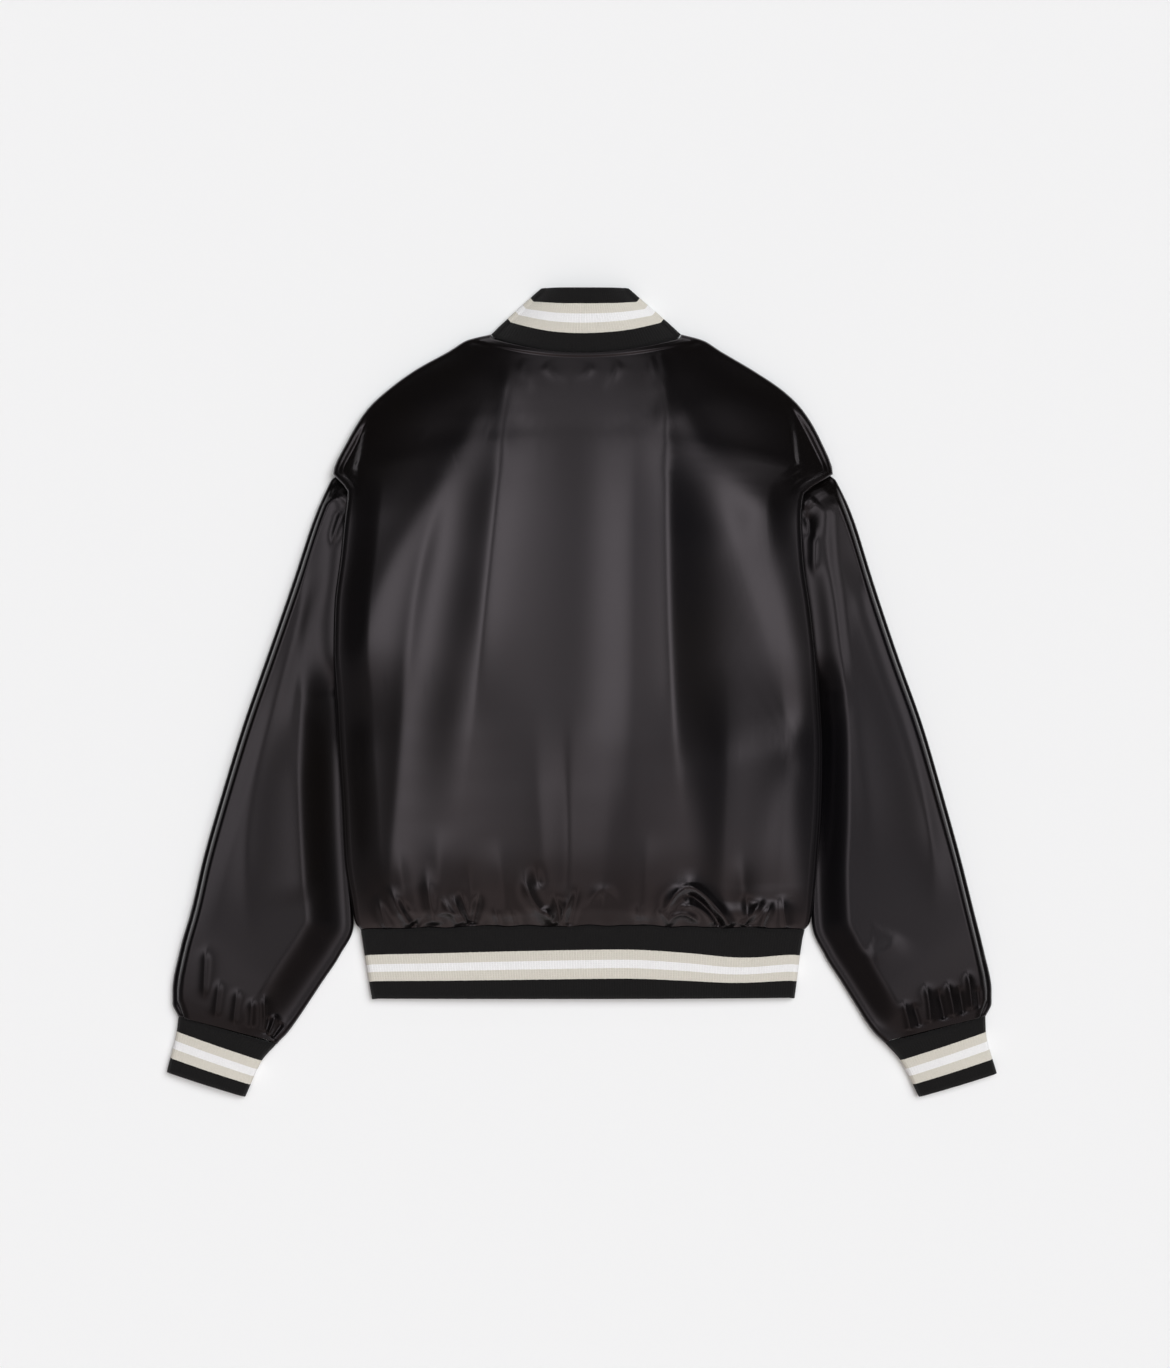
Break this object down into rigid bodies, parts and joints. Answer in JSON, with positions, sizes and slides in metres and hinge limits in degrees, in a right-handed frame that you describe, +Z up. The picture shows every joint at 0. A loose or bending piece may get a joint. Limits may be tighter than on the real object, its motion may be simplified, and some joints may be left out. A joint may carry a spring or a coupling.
{
  "type": "varsity jacket",
  "caption": "Black satin varsity jacket lying closed and flat on its front, with striped rib collar, hem band and cuffs.",
  "frame": {"origin": "centre of the jacket's footprint on the surface that it lies on", "axes": "+Z up off the surface, +Y from hem to collar, +X to the right as seen from above with the back of the jacket uppermost"},
  "size_m": [0.8616, 0.843, 0.0565],
  "materials": {
    "satin": "black satin",
    "rib": "striped rib knit in black, cream and white",
    "stud": "black paint"
  },
  "bodies": {
    "root": {"back": "satin", "front_left": "satin", "front_right": "satin", "sleeve_left": "satin", "sleeve_right": "satin", "collar": "rib", "hem_band": "rib", "cuff_left": "rib", "cuff_right": "rib", "stud_1": "stud", "stud_2": "stud", "stud_3": "stud", "stud_4": "stud", "stud_5": "stud", "stud_6": "stud"}
  },
  "joints": []
}
